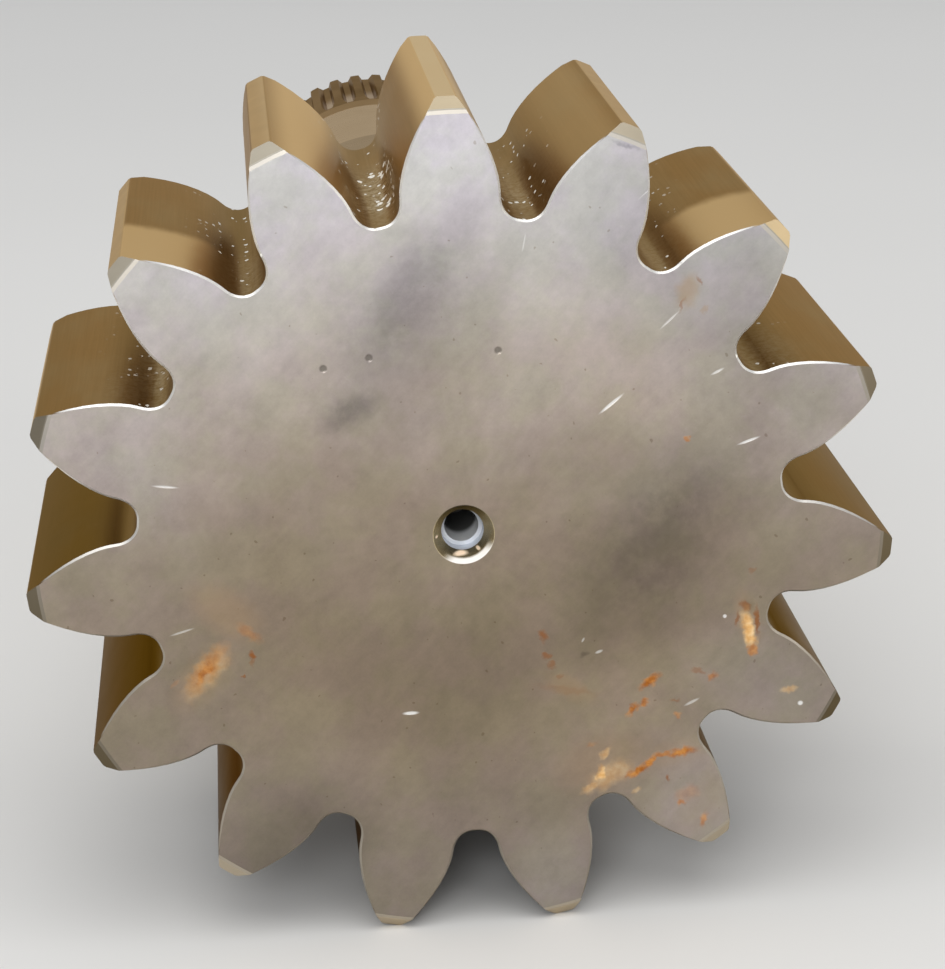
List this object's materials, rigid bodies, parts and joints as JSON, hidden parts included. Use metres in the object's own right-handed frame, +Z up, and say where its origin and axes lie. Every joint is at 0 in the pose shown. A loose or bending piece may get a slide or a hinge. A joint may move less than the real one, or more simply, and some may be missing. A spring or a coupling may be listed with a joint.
{
  "type": "pinion shaft",
  "caption": "Straight-toothed pinion forged in one with its stepped, splined shaft, with a threaded centre hole in each end.",
  "frame": {"origin": "on the shaft's axis, in the middle of the gear head's front face, at the mouth of its centre hole", "axes": "+Y along the axis from the gear head to the splined tail, +Z up through the middle of a tooth, +X to the right seen from in front of the head"},
  "size_m": [0.214, 0.414, 0.2129],
  "materials": {
    "cut_gear_steel": "machined, lightly oiled, a few rust spots",
    "ground_shaft_steel": "ground and turned",
    "hobbed_spline_steel": "hobbed, oily"
  },
  "bodies": {
    "root": {"toothed_head": "cut_gear_steel", "stepped_shaft": "ground_shaft_steel", "splined_tail": "hobbed_spline_steel"}
  },
  "joints": []
}
